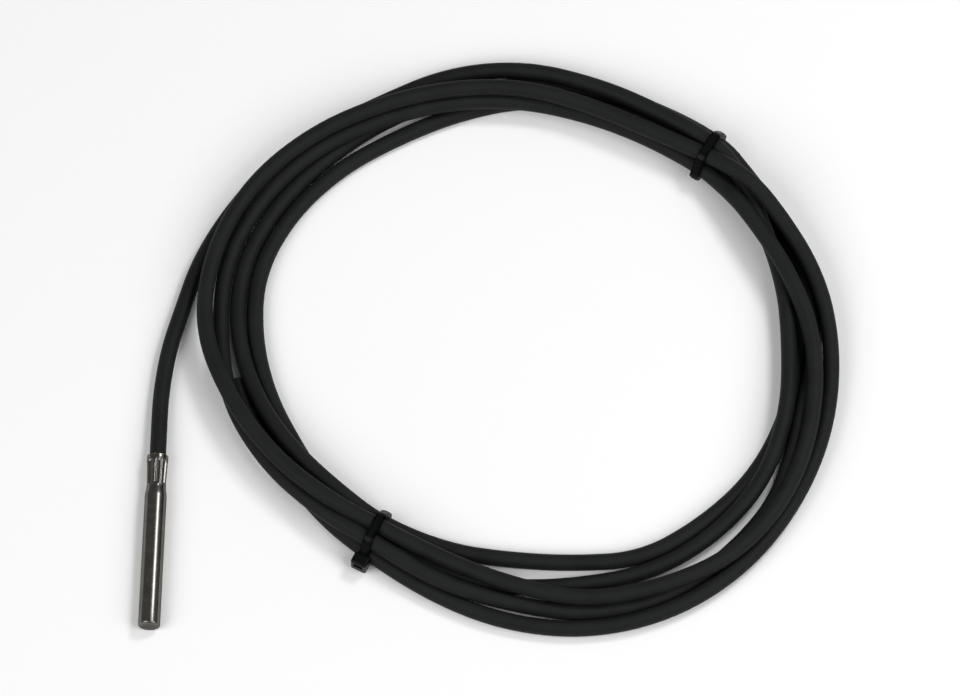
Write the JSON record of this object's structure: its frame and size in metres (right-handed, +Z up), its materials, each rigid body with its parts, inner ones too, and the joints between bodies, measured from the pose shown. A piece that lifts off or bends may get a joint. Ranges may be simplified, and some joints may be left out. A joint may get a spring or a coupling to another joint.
{
  "type": "cable temperature probe",
  "caption": "Crimped stainless sleeve temperature probe on a round black cable, its lead wound in a loose coil and tied.",
  "frame": {"origin": "on the floor under the middle of the steel sleeve", "axes": "+Y along the sleeve from its closed tip towards the cable, +Z up, +X towards the coil"},
  "size_m": [0.1887, 0.1696, 0.0138],
  "materials": {
    "stainless_steel": "drawn tube, satin, dimples pressed bright",
    "potting_resin": "cast epoxy",
    "element_ceramic": "fired ceramic chip with a glass drop",
    "lead_wire": "drawn bare wire",
    "tinned_brass": "tinned and crimped",
    "shrink_tube": "shrunk polyolefin",
    "copper": "bare copper strand",
    "core_brown": "extruded",
    "core_white": "extruded",
    "cable_jacket": "extruded satin PVC",
    "tie_nylon": "moulded"
  },
  "bodies": {
    "root": {"probe_sleeve": "stainless_steel", "potting_fill": "potting_resin", "sensing_element": "element_ceramic", "element_lead_1": "lead_wire", "element_lead_2": "lead_wire", "splice_ferrule_1": "tinned_brass", "splice_ferrule_2": "tinned_brass", "splice_shrink_1": "shrink_tube", "splice_shrink_2": "shrink_tube", "conductor_1": "copper", "conductor_2": "copper", "core_insulation_1": "core_brown", "core_insulation_2": "core_white", "gripped_jacket": "cable_jacket", "tail_cable": "cable_jacket", "cable_coil": "cable_jacket", "tie_upper": "tie_nylon", "tie_lower": "tie_nylon"}
  },
  "joints": []
}
